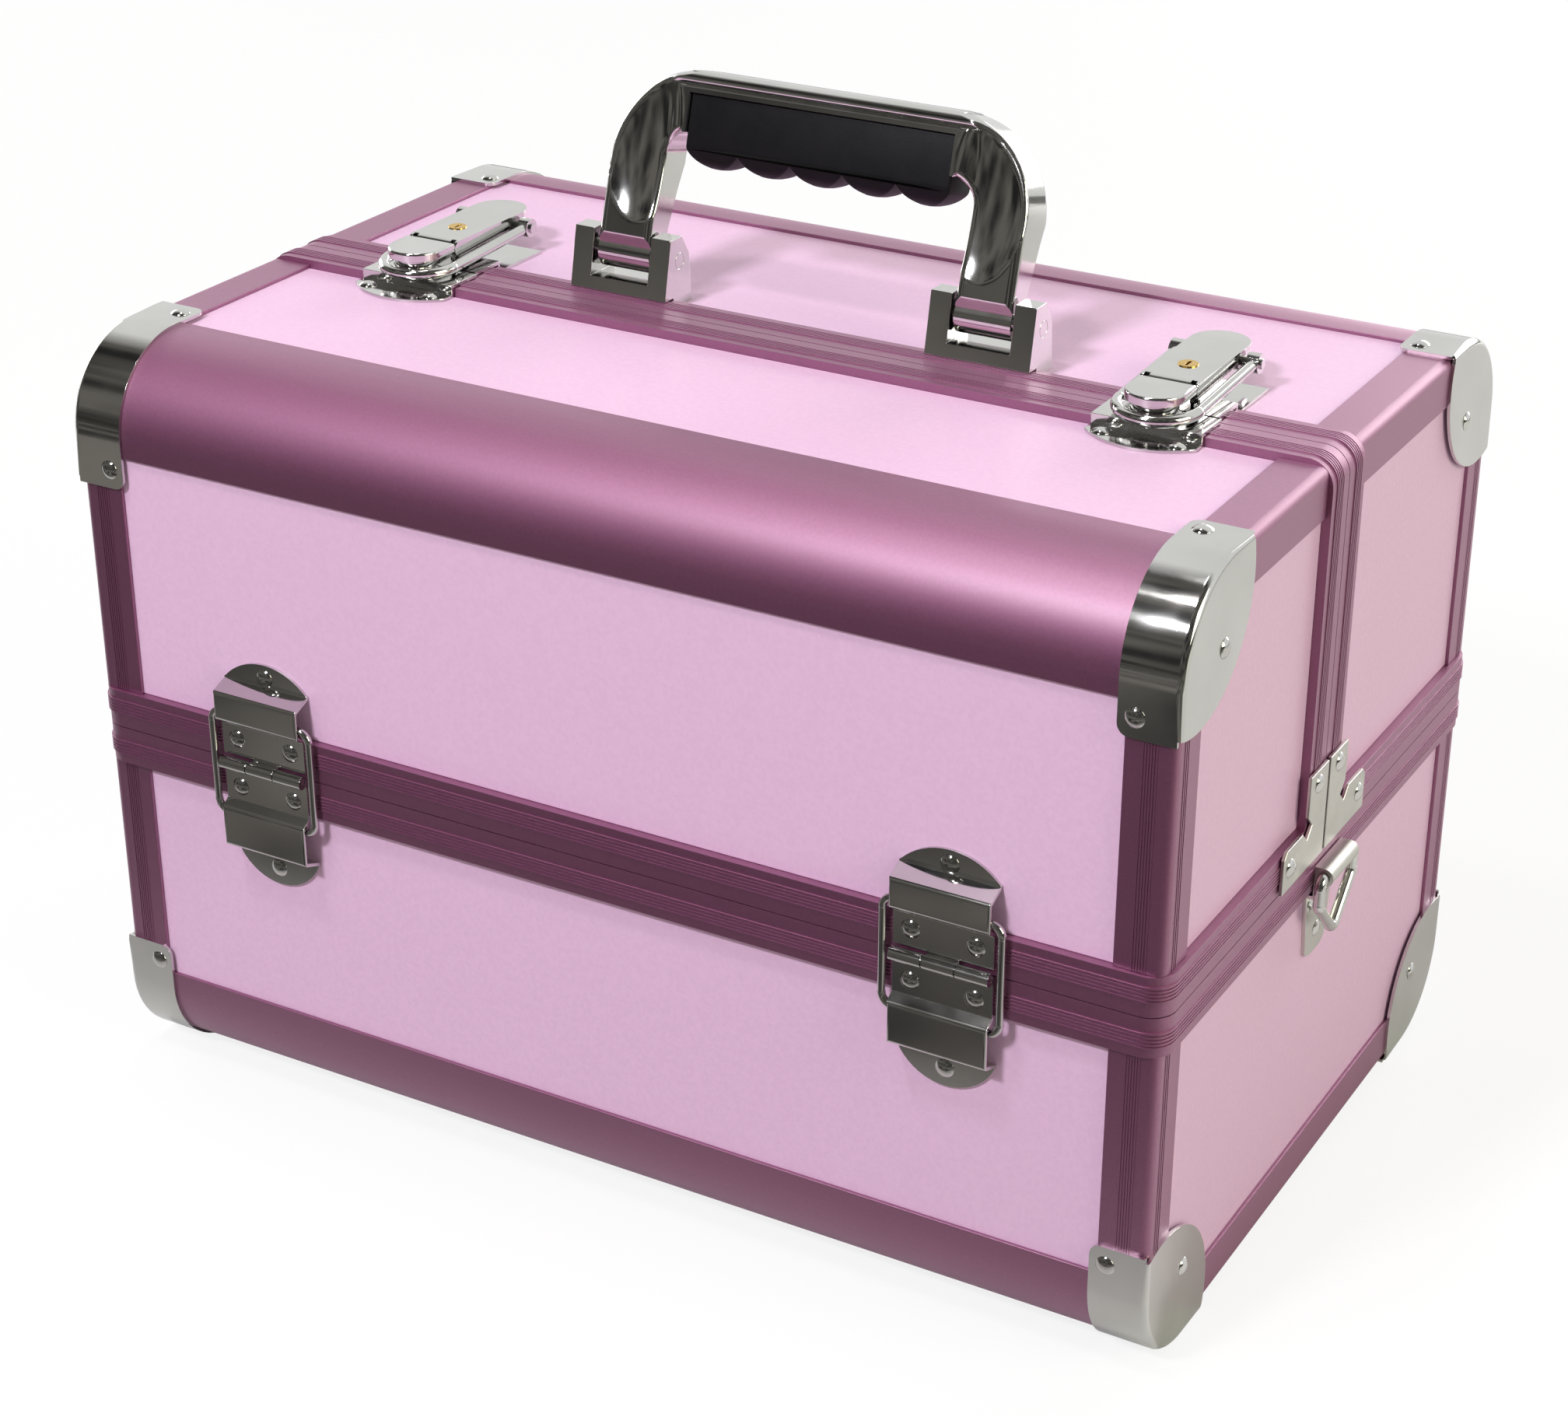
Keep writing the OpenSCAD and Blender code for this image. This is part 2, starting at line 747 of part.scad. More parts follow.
module handle_frame() {
  corner = 30;
  foot_r = 5.5;
  color(chrome) lift() handle_pose() difference() {
    union() {
      intersection() {
        along_y(handle_front, handle_back) difference() {
          union() {
            round_rect(-handle_half_w, handle_half_w, -40, handle_top, corner);
            rect(-handle_half_w, handle_half_w, -6, corner - 5);
          }
          rect(-grip_half, grip_half, 0, grip_high);
          round_rect(-leg_in, leg_in, -60, web_low, 8);
          rect(-200, 200, -60, 0);
        }
        along_x(-handle_half_w, handle_half_w) handle_side();
      }
      both_ends() pin_x(leg_in, handle_half_w, 0, 0, foot_r);
    }
    both_sides(bracket_x) pin_x(-20, 20, 0, 0, handle_pin_r + pin_clearance);
  }
}

module handle_grip() {
  bumps = 5;
  pitch = 2 * grip_half / bumps;
  bump_r = 10.6;
  recess = 1.3;
  color(dark) lift() handle_pose() intersection() {
    along_y(-10, 12) intersection() {
      rect(-grip_half, grip_half, grip_low, grip_high);
      union() {
        rect(-grip_half, grip_half, grip_low + 6, grip_high);
        for (i = [0 : bumps - 1])
          translate([(i - (bumps - 1) / 2) * pitch, grip_low + bump_r]) circle(bump_r);
      }
    }
    along_x(-grip_half, grip_half)
      round_rect(handle_front + recess, handle_back - recess, grip_low, grip_high + 9, 7);
  }
}

module handle_brackets() {
  slot = 20.6;
  slot_z = case_h + 6;
  front = -3;
  back = 13.5;
  top_z = handle_z + 7.5;
  color(chrome) lift() both_sides(bracket_x) {
    difference() {
      along_x(-bracket_w / 2, bracket_w / 2) difference() {
        polygon([[front, case_h - lip], [back, case_h - lip], [handle_y + 5.6, handle_z + 1],
                 [handle_y + 1.5, top_z], [handle_y - 5, top_z]]);
        rect(front - 1, seam_y + rim_h + 0.05, case_h - 3, case_h + rim_proud + ridge_proud + 0.05);
      }
      box(-slot / 2, slot / 2, -20, 30, slot_z, case_h + 40);
      pin_x(-bracket_w, bracket_w, handle_y, handle_z, handle_pin_r + 0.01);
    }
    pin_x(-bracket_w / 2, bracket_w / 2, handle_y, handle_z, handle_pin_r);
  }
}

// Latch parts are drawn around x = 0 and copied to both places.
module latch_catch() {
  plate_z = case_h - lip;
  rim_level = case_h + rim_proud + ridge_proud;
  front = seam_y - rim_h - 14;
  back = seam_y - 0.4;
  along_x(-17, 17) {
    rect(front, seam_y - rim_h - 0.5, plate_z, plate_z + 1);
    rect(seam_y - rim_h - 1.5, seam_y - rim_h - 0.5, plate_z, rim_level + 1);
    rect(seam_y - rim_h - 1.5, back, rim_level, rim_level + 1);
  }
  translate([0, 0, rim_level]) {
    linear_extrude(hook_neck_top - rim_level) hook_outline(hook_lip, back);
    translate([0, 0, hook_neck_top - rim_level]) linear_extrude(lever_top - hook_neck_top)
      hook_outline(0, back);
  }
}

// D outline of the hook, drawn in by i on its round side
module hook_outline(i, back) {
  r = hook_half_w - i;
  centre = hook_front + hook_half_w;
  intersection() {
    union() {
      translate([0, centre]) circle(r);
      rect(-r, r, centre, back);
    }
    rect(-20, 20, 2 * hook_front, back);
  }
}

module latch_catches() {
  color(chrome) lift() both_sides(latch_x) intersection() {
    latch_catch();
    translate([0, seam_y - 2.5, case_h - 9]) cylinder(h = 40, r = 23);
  }
}

module catch_rivets() {
  both_sides(latch_x) for (x = [-11.5, 11.5])
    translate([x, seam_y - rim_h - 6, case_h - lip + 1]) rivet();
}

// Base plate stepping over the rim, with two ears for the lever pin
module latch_base() {
  plate_z = case_h - lip;
  rim_level = case_h + rim_proud + ridge_proud;
  rim_back = seam_y + rim_h;
  along_x(-16, 16) {
    rect(rim_back + 0.2, 27, plate_z, plate_z + 1);
    rect(rim_back + 0.2, rim_back + 1.2, plate_z, rim_level + 1);
    rect(seam_y + 0.4, rim_back + 1.2, rim_level, rim_level + 1);
  }
  for (s = [-1, 1]) translate([s * ear_x, 0, 0]) along_x(-0.6, 0.6) {
    translate(lever_pivot) circle(ear_r);
    rect(lever_pivot[0] - ear_r, lever_pivot[0] + ear_r, rim_level, lever_pivot[1]);
  }
}

module latch_bases() {
  color(chrome) lift() both_sides(latch_x) {
    difference() {
      latch_base();
      pin_x(-30, 30, lever_pivot[0], lever_pivot[1], lever_pin_r + 0.01);
    }
    pin_x(-lever_half_w, lever_half_w, lever_pivot[0], lever_pivot[1], lever_pin_r);
  }
}

// Key lever: a shallow channel with a round finger tab behind and a rolled nose at the pivot
module latch_lever(s) {
  low = case_h + 4.6;
  tab = 36;
  skin = 1.2;
  front = lever_pivot[0];
  module nose() {
    intersection() {
      translate(lever_pivot) difference() {
        circle(lever_nose_r);
        circle(lever_nose_r - 1.1);
      }
      rect(front - 9, front + 0.01, lever_pivot[1] - 0.5, lever_top);
    }
  }
  color(chrome) lift() translate([s * latch_x, 0, 0]) difference() {
    union() {
      translate([0, 0, lever_top - skin]) linear_extrude(skin) {
        rect(-lever_half_w, lever_half_w, front, tab - lever_half_w);
        translate([0, tab - lever_half_w]) circle(lever_half_w);
      }
      along_x(-ear_x + 0.9, ear_x - 0.9) nose();
      for (k = [-1, 1]) translate([k * (lever_half_w - 0.5), 0, 0]) along_x(-0.5, 0.5) {
        rect(front, loop_pivot[0] + 3, low, lever_top - 0.5);
        translate(lever_pivot) circle(lever_nose_r);
      }
      translate([0, plug_y, low]) cylinder(h = lever_top - low - 0.5, r = plug_r + 1.5);
      pin_x(-loop_half_w - 2.6, loop_half_w + 2.6, loop_pivot[0], loop_pivot[1], latch_pin_r);
    }
    pin_x(-30, 30, lever_pivot[0], lever_pivot[1], lever_pin_r + pin_clearance);
    translate([0, plug_y, low - 1]) cylinder(h = 30, r = plug_r + pin_clearance);
  }
}

// Wire loop that goes round the hook and back to the lever, drawn flat and tilted at its pivot
module latch_loop(s) {
  long = loop_pivot[0] - loop_front - loop_half_w;
  slope = atan2(loop_pivot[1] - loop_z, loop_pivot[0] - loop_front);
  color(chrome) lift() translate([s * latch_x, loop_pivot[0], loop_pivot[1]]) rotate([slope, 0, 0])
    difference() {
      union() {
        translate([0, -long, 0]) rotate(180) rotate_extrude(angle = 180)
          translate([loop_half_w, 0]) circle(loop_wire + bend_swell);
        for (k = [-1, 1]) {
          translate([k * loop_half_w, -long - 0.3, 0]) rotate([-90, 0, 0])
            cylinder(h = long + 0.3, r = loop_wire);
          pin_x(k * loop_half_w - eye_half, k * loop_half_w + eye_half, 0, 0, loop_eye_r);
        }
      }
      pin_x(-30, 30, 0, 0, latch_pin_r + pin_clearance);
    }
}

module key_plug(s) {
  color(brass) lift() translate([s * latch_x, plug_y, 0]) difference() {
    translate([0, 0, case_h + 8]) cylinder(h = lever_top - case_h - 7.7, r = plug_r);
    translate([0, 0, lever_top]) cube([0.9, 3.6, 3], center = true);
  }
}

module lid_rivets(rear) {
  color(chrome) lift() {
    at_corners(rear, true) cap_rivets();
    hinges(rear, true) leaf_rivets(upper_reach);
    if (!rear) catch_rivets();
    link_studs(rear);
  }
  color(chrome) bracket_rivets(rear);
}

base_wall_panels();
base_bottom_panel();
base_bottom_edges();
base_end_frames();
base_rim();
base_corner_caps();
base_lining();
hinge_lower_leaves();
hinge_pins();
ring_straps();
base_rivets();
tray_arm_brackets();
lid_long_panel(false);  // front_lid_front_panel
lid_top_panel(false, front_depth);  // front_lid_top_panel
lid_end_panels(false, front_depth);  // front_lid_end_panels
lid_round_edge(false);  // front_lid_round_edge
lid_end_frames(false, front_depth);  // front_lid_end_frames
lid_rim(false);  // front_lid_rim
color(chrome) lift() at_corners(false, true) corner_cap();  // front_lid_corner_caps
lid_lining(false, front_depth);  // front_lid_lining
corner_brackets(false);  // front_lid_corner_brackets
color(chrome) lift() hinges(false, true) hinge_leaf(true, upper_reach);  // front_hinge_leaves
lid_rivets(false);  // front_lid_rivets
latch_catches();
lid_long_panel(true);  // rear_lid_rear_panel
lid_top_panel(true, rear_depth);  // rear_lid_top_panel
lid_end_panels(true, rear_depth);  // rear_lid_end_panels
lid_round_edge(true);  // rear_lid_round_edge
lid_end_frames(true, rear_depth);  // rear_lid_end_frames
lid_rim(true);  // rear_lid_rim
color(chrome) lift() at_corners(true, true) corner_cap();  // rear_lid_corner_caps
lid_lining(true, rear_depth);  // rear_lid_lining
corner_brackets(true);  // rear_lid_corner_brackets
color(chrome) lift() hinges(true, true) hinge_leaf(true, upper_reach);  // rear_hinge_leaves
lid_rivets(true);  // rear_lid_rivets
latch_bases();
handle_brackets();
hinge_bails(false);  // front_hinge_bails
hinge_bails(true);  // rear_hinge_bails
handle_frame();
handle_grip();
latch_lever(-1);  // latch_lever_left
latch_lever(1);  // latch_lever_right
latch_loop(-1);  // latch_loop_left
latch_loop(1);  // latch_loop_right
key_plug(-1);  // key_plug_left
key_plug(1);  // key_plug_right
color(chrome) lift() mirror([1, 0, 0]) carry_ring();  // carry_ring_left
color(chrome) lift() carry_ring();  // carry_ring_right
arms(false, 0);  // front_outer_arms
arms(false, 1);  // front_inner_arms
tray(false, 0);  // front_lower_tray
tray(false, 1);  // front_upper_tray
arms(true, 0);  // rear_outer_arms
arms(true, 1);  // rear_inner_arms
tray(true, 0);  // rear_lower_tray
tray(true, 1);  // rear_upper_tray
lid_links(false);  // front_lid_links
lid_links(true);  // rear_lid_links
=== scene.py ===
# %% [markdown]
# # A makeup train case
# The case is a box of pink laminate boards held in mauve aluminium edges. Two lids part along the
# top and fold outward, and the fittings are chrome. The measured model gives every piece its place,
# and this lesson gives each piece its surface: small rounded edges, pressed shapes and finishes.

# %% Load the measured model
import json
import math

import bpy
from mathutils import Matrix, Vector


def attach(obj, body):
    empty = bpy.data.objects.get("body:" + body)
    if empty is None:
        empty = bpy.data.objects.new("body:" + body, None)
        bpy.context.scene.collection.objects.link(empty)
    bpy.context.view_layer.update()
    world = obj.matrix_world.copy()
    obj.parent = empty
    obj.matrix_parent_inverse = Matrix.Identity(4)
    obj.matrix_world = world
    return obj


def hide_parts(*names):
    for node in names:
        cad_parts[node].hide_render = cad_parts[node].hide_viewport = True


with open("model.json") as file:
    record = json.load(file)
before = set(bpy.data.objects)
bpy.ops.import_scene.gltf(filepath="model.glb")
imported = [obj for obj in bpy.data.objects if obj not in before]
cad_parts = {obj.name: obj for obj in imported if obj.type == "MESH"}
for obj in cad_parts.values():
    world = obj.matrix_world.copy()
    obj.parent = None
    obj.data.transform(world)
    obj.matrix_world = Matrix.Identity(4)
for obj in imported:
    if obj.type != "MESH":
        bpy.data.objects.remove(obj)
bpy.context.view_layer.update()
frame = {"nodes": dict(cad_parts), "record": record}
body_of_node = {n: b for b, names in frame["record"]["behaviour"]["bodies"].items() for n in names}
slot_of_node = {s["node"]: s["material_slot"] for s in frame["record"]["subparts"]}
MM = 0.001

# %% [markdown]
# ## Camera
# The photograph was taken from the front right and from above. Its straight edges give the place of
# the lens, and the shift puts the case where the photograph has it in the frame.

# %% Place the camera
view_azimuth = 28.54
view_elevation = 26.57
view_roll = 0.61
eye = Vector((0.451, -0.789, 0.564))
lens_length, film_width = 72.8, 36
frame_shift = -0.0454, 0.0164

bpy.ops.object.select_all(action="DESELECT")
bpy.ops.object.camera_add(location=eye)
camera = bpy.context.active_object
camera.rotation_euler = (
    Matrix.Rotation(math.radians(view_azimuth), 3, "Z")
    @ Matrix.Rotation(math.radians(90 - view_elevation), 3, "X")
    @ Matrix.Rotation(math.radians(view_roll), 3, "Z")
).to_euler()
camera.data.lens = lens_length
camera.data.sensor_width = film_width
camera.data.shift_x, camera.data.shift_y = frame_shift
bpy.context.scene.camera = camera
bpy.context.scene.view_settings.view_transform = "Standard"
print("camera", tuple(round(c, 3) for c in camera.location), "lens", camera.data.lens)

# %% [markdown]
# ## Floor and room
# The case stands on a plain pale floor in a white studio. The lens sees the floor pale everywhere. Shiny
# metal sees it pale behind the case and dark in front, where the room behind the lens is dim: that is
# what gives chrome its dark fronts and bright tops. A large dark card in front could do the same, but
# it would show in other views, so the floor and the world tell glossy rays apart instead.


# %% Helpers for node trees
def new_material(name):
    """A material with an empty Principled shader, returned with its tree."""
    material = bpy.data.materials.new(name)
    material.use_nodes = True
    tree = material.node_tree
    return material, tree, tree.nodes["Principled BSDF"]


def link(tree, source, target):
    """Joins an output of one node to an input of another."""
    tree.links.new(source, target)


def node(tree, kind, **settings):
    """Adds a shader node and sets its properties and its named inputs."""
    made = tree.nodes.new(kind)
    for key, value in settings.items():
        if hasattr(made, key):
            setattr(made, key, value)
        else:
            made.inputs[key.replace("_", " ")].default_value = value
    return made


# %% A room that is dim in front
dim_tones = (0.02, 0.02, 0.02), (0.16, 0.15, 0.135)
dim_stops = 0.38, 0.62
dim_scale = 5.0


def along_depth(tree, coordinates, start, end, rear):
    """Dim blotches in front, which give way to a rear tone between two places along Y."""
    place = node(tree, "ShaderNodeTexCoord")
    parts = node(tree, "ShaderNodeSeparateXYZ")
    share = node(tree, "ShaderNodeMapRange", From_Min=start, From_Max=end)
    made = node(tree, "ShaderNodeMix", data_type="RGBA")
    made.inputs["B"].default_value = (*rear, 1)
    noise = node(tree, "ShaderNodeTexNoise", Scale=dim_scale, Detail=2.0)
    dim = node(tree, "ShaderNodeValToRGB")
    for stop, at, tone in zip(dim.color_ramp.elements, dim_stops, dim_tones):
        stop.position = at
        stop.color = (*tone, 1)
    link(tree, place.outputs[coordinates], noise.inputs["Vector"])
    link(tree, noise.outputs["Fac"], dim.inputs["Fac"])
    link(tree, dim.outputs["Color"], made.inputs["A"])
    link(tree, place.outputs[coordinates], parts.inputs[0])
    link(tree, parts.outputs["Y"], share.inputs["Value"])
    link(tree, share.outputs["Result"], made.inputs["Factor"])
    return made.outputs["Result"]


print("room tones", dim_tones)

# %% Floor
floor_size = 9
# Tones for the lens, for light on the case, and for metal; the last sets in between two places along Y
floor_to_lens = (0.9, 0.9, 0.9)
floor_to_case = (0.40, 0.37, 0.36)
floor_behind = (0.66, 0.66, 0.65)
floor_turn = -0.25, -0.10
floor_glow = 0.84

bpy.ops.object.select_all(action="DESELECT")
bpy.ops.mesh.primitive_grid_add(x_subdivisions=8, y_subdivisions=8, size=floor_size)
floor = bpy.context.active_object
floor.name = "floor"
floor_white, tree, shader = new_material("floor_white")
shader.inputs["Roughness"].default_value = 0.9
shader.inputs["Specular IOR Level"].default_value = 0.1
path = node(tree, "ShaderNodeLightPath")
in_metal = node(tree, "ShaderNodeMix", data_type="RGBA")
in_metal.inputs["A"].default_value = (*floor_to_case, 1)
link(tree, along_depth(tree, "Object", *floor_turn, floor_behind), in_metal.inputs["B"])
link(tree, path.outputs["Is Glossy Ray"], in_metal.inputs["Factor"])
tone = node(tree, "ShaderNodeMix", data_type="RGBA")
tone.inputs["B"].default_value = (*floor_to_lens, 1)
link(tree, in_metal.outputs["Result"], tone.inputs["A"])
link(tree, path.outputs["Is Camera Ray"], tone.inputs["Factor"])
link(tree, tone.outputs["Result"], shader.inputs["Base Color"])
glow = node(tree, "ShaderNodeEmission", Strength=1.0)
share = node(tree, "ShaderNodeMath", operation="MULTIPLY")
share.inputs[1].default_value = floor_glow
blend = node(tree, "ShaderNodeMixShader")
link(tree, path.outputs["Is Camera Ray"], share.inputs[0])
link(tree, share.outputs[0], blend.inputs["Fac"])
link(tree, shader.outputs[0], blend.inputs[1])
link(tree, glow.outputs[0], blend.inputs[2])
link(tree, blend.outputs[0], tree.nodes["Material Output"].inputs["Surface"])
floor.data.materials.append(floor_white)
print("floor", floor.dimensions[:])

# %% [markdown]
# ## Lamps
# Three small key lamps hang in an arc from the front to overhead, where chrome shows them as points and
# satin metal as one broad sheen. One big lamp would be simpler, but it turns flat chrome white. A warmer,
# wider lamp fills the right-hand end, and two more light the rear and the left-hand end.


# %% Lamps
def softbox(name, place, aim, size, power, colour):
    """A rectangular area lamp at a place, turned towards a point; size is its width and height."""
    bpy.ops.object.light_add(type="AREA", location=place)
    lamp = bpy.context.active_object
    lamp.name = name
    lamp.rotation_euler = (Vector(aim) - Vector(place)).to_track_quat("-Z", "Y").to_euler()
    lamp.data.shape = "RECTANGLE"
    lamp.data.size, lamp.data.size_y = size
    lamp.data.energy = power
    lamp.data.color = colour


case_middle = (0, 0, 0.12)
key_size = (0.3, 0.2)
softbox("key_low", (-0.3, -1.5, 1.5), case_middle, key_size, 26, (0.95, 0.95, 1))
softbox("key_mid", (-0.3, -0.75, 2.0), case_middle, key_size, 9, (1, 0.96, 0.95))
softbox("key_high", (-0.3, 0.15, 2.15), case_middle, key_size, 3, (1, 0.96, 0.95))
softbox("end_fill", (2.1, -0.2, 1.15), case_middle, (1.2, 1.2), 25, (1, 0.985, 0.76))
softbox("rear_fill", (0.4, 2.3, 0.8), case_middle, (1.6, 1.0), 30, (1, 0.97, 0.97))
softbox("left_fill", (-2.1, 0.7, 0.6), case_middle, (1.2, 1.0), 14, (1, 0.98, 0.97))

# %% World
ambient_level = 0.22
# What metal sees of the room behind the case, and the two places along Y where the room turns pale
room_behind = (0.9, 0.9, 0.89)
room_turn = 0.06, 0.34

world = bpy.data.worlds.new("studio")
bpy.context.scene.world = world
world.use_nodes = True
tree = world.node_tree
ambient = tree.nodes["Background"]
ambient.inputs["Color"].default_value = (1, 1, 1, 1)
ambient.inputs["Strength"].default_value = ambient_level
room = node(tree, "ShaderNodeBackground", Strength=1.0)
link(tree, along_depth(tree, "Generated", *room_turn, room_behind), room.inputs["Color"])
backdrop = node(tree, "ShaderNodeBackground", Strength=1.0)
backdrop.inputs["Color"].default_value = (1, 1, 1, 1)
path = node(tree, "ShaderNodeLightPath")
seen = node(tree, "ShaderNodeMath", operation="MAXIMUM")
in_metal = node(tree, "ShaderNodeMixShader")
in_view = node(tree, "ShaderNodeMixShader")
link(tree, path.outputs["Is Glossy Ray"], in_metal.inputs["Fac"])
link(tree, ambient.outputs[0], in_metal.inputs[1])
link(tree, room.outputs[0], in_metal.inputs[2])
link(tree, path.outputs["Is Camera Ray"], seen.inputs[0])
link(tree, path.outputs["Is Transmission Ray"], seen.inputs[1])
link(tree, seen.outputs[0], in_view.inputs["Fac"])
link(tree, in_metal.outputs[0], in_view.inputs[1])
link(tree, backdrop.outputs[0], in_view.inputs[2])
link(tree, in_view.outputs[0], tree.nodes["World Output"].inputs["Surface"])
print("world", world.name)

# %% [markdown]
# ## Finishes
# Every finish is worked out from noise on the piece's own coordinates, in metres, so its grain keeps
# its real size. The laminate has a faint mottle and a fine orange-peel bump, the anodised aluminium a
# fine satin grain, and the chrome soft smudges that change its gloss.


# %% Helpers for finishes
def grain(tree, scale, detail=3.0):
    """Noise on Object coordinates, with so many waves to the metre."""
    place = node(tree, "ShaderNodeTexCoord")
    noise = node(tree, "ShaderNodeTexNoise", Scale=scale, Detail=detail, Roughness=0.55)
    link(tree, place.outputs["Object"], noise.inputs["Vector"])
    return noise.outputs["Fac"]


def ramp(tree, source, low, high):
    """Colours from low to high as the source goes from 0.35 to 0.65."""
    made = node(tree, "ShaderNodeValToRGB")
    for stop, at, colour in zip(made.color_ramp.elements, (0.35, 0.65), (low, high)):
        stop.position = at
        stop.color = (*colour, 1)
    link(tree, source, made.inputs["Fac"])
    return made.outputs["Color"]


def spread(tree, source, low, high):
    """Numbers from low to high as the source goes from 0.3 to 0.7."""
    made = node(tree, "ShaderNodeMapRange", From_Min=0.3, From_Max=0.7, To_Min=low, To_Max=high)
    link(tree, source, made.inputs["Value"])
    return made.outputs["Result"]


def bump(tree, shader, source, strength, height):
    """Raises the surface by a source, on the shader's normal."""
    made = node(tree, "ShaderNodeBump", Strength=strength, Distance=height)
    link(tree, source, made.inputs["Height"])
    link(tree, made.outputs["Normal"], shader.inputs["Normal"])


def finish(name, low, high, gloss, metal=0.0, mottle=30.0, fine=1500.0, relief=(0.1, 0.0001)):
    """Mottled colour, varied gloss and a fine bump, with the constant numbers set on the shader."""
    material, tree, shader = new_material(name)
    shader.inputs["Metallic"].default_value = metal
    broad = grain(tree, mottle)
    link(tree, ramp(tree, broad, low, high), shader.inputs["Base Color"])
    close = grain(tree, fine, detail=2.0)
    link(tree, spread(tree, close, *gloss), shader.inputs["Roughness"])
    bump(tree, shader, close, *relief)
    return material, shader


# %% The finishes of this case
pink_laminate, _ = finish(
    "pink_laminate", (0.765, 0.50, 0.705), (0.80, 0.53, 0.735), (0.38, 0.46), mottle=700, fine=1700,
    relief=(0.12, 0.0001))
mauve_aluminium, shader = finish(
    "mauve_aluminium", (0.29, 0.068, 0.185), (0.325, 0.082, 0.21), (0.56, 0.64), metal=1.0, mottle=1100,
    fine=2200, relief=(0.1, 0.00005))
shader.inputs["Coat Weight"].default_value = 1.0
shader.inputs["Coat Roughness"].default_value = 0.45
shader.inputs["Coat IOR"].default_value = 2.0
chrome, _ = finish(
    "chrome", (0.60, 0.60, 0.585), (0.67, 0.67, 0.655), (0.06, 0.12), metal=1.0, mottle=25, fine=90,
    relief=(0.03, 0.0002))
satin_nickel, _ = finish(
    "satin_nickel", (0.60, 0.59, 0.55), (0.66, 0.65, 0.61), (0.28, 0.38), metal=1.0, mottle=80, fine=2500,
    relief=(0.08, 0.00004))
grip_black, shader = finish(
    "grip_black", (0.004, 0.004, 0.005), (0.0065, 0.006, 0.0075), (0.42, 0.52), mottle=120, fine=2600,
    relief=(0.25, 0.0001))
shader.inputs["Specular IOR Level"].default_value = 0.15
key_brass, _ = finish(
    "key_brass", (0.62, 0.40, 0.10), (0.74, 0.50, 0.16), (0.18, 0.3), metal=1.0, mottle=300, fine=1500)
tray_pink, _ = finish(
    "tray_pink", (0.66, 0.42, 0.57), (0.70, 0.46, 0.61), (0.36, 0.46), mottle=20, fine=1800,
    relief=(0.2, 0.0001))
lining_cloth, _ = finish(
    "lining_cloth", (0.022, 0.019, 0.022), (0.045, 0.040, 0.045), (0.75, 0.95), mottle=900, fine=1400,
    relief=(0.6, 0.0003))
bottom_board, _ = finish("bottom_board", (0.035, 0.03, 0.034), (0.05, 0.045, 0.05), (0.5, 0.6))
FINISH = {
    "pink_laminate": pink_laminate, "mauve_frame": mauve_aluminium, "chrome_hardware": chrome,
    "satin_steel": satin_nickel, "grip_plastic": grip_black, "key_brass": key_brass,
    "lining_cloth": lining_cloth, "bottom_board": bottom_board, "tray_plastic": tray_pink,
}
print("finishes:", sorted(FINISH))

# %% [markdown]
# ## Broken edges
# No pressed or extruded edge is perfectly sharp: a thin rounded line along it catches the light. A
# bevel modifier could stay live on each node, but the loaded meshes are loose triangles, so each
# piece is made from a merged copy, its flat faces are joined again and its sharp edges are bevelled.


# %% Helpers for dressed pieces
merge_distance = 2e-6
flat_angle = math.radians(0.5)


def merged_copy(name):
    """A copy of a node with its loose triangles merged and its flat faces joined, selected alone."""
    bpy.ops.object.select_all(action="DESELECT")
    piece = bpy.data.objects.new(name + "_dressed", frame["nodes"][name].data.copy())
    bpy.context.scene.collection.objects.link(piece)
    piece.select_set(True)
    bpy.context.view_layer.objects.active = piece
    bpy.context.tool_settings.mesh_select_mode = (False, True, False)
    bpy.ops.object.mode_set(mode="EDIT")
    bpy.ops.mesh.select_all(action="SELECT")
    bpy.ops.mesh.remove_doubles(threshold=merge_distance)
    bpy.ops.mesh.dissolve_limited(angle_limit=flat_angle)
    bpy.ops.mesh.select_all(action="DESELECT")
    bpy.ops.object.mode_set(mode="OBJECT")
    return piece


def select_none():
    """Clears the selection of the active piece and leaves it in object mode."""
    bpy.ops.object.mode_set(mode="EDIT")
    bpy.ops.mesh.select_all(action="DESELECT")
    bpy.ops.object.mode_set(mode="OBJECT")


def pick_edges(piece, test, sharp=0):
    """Selects the edges whose ends pass a test and that bend by an angle, and goes to edit mode."""
    select_none()
    mesh = piece.data
    sides = {}
    for face in mesh.polygons:
        for key in face.edge_keys:
            sides.setdefault(key, []).append(face.normal.copy())
    for edge in mesh.edges:
        met = sides[tuple(sorted(edge.vertices))]
        bent = len(met) < 2 or met[0].angle(met[1]) >= math.radians(sharp)
        edge.select = bent and all(test(mesh.vertices[i].co) for i in edge.vertices)
    bpy.ops.object.mode_set(mode="EDIT")
    return sum(edge.select for edge in mesh.edges)


def round_sharp(width, segments=2, sharp=32):
    """Bevels every edge of the active piece that bends more than an angle, by a width in mm."""
    bpy.ops.object.mode_set(mode="EDIT")
    bpy.ops.mesh.select_all(action="DESELECT")
    bpy.ops.mesh.edges_select_sharp(sharpness=math.radians(sharp))
    bpy.ops.mesh.bevel(offset=width * MM, segments=segments, affect="EDGES", clamp_overlap=True)
    bpy.ops.object.mode_set(mode="OBJECT")


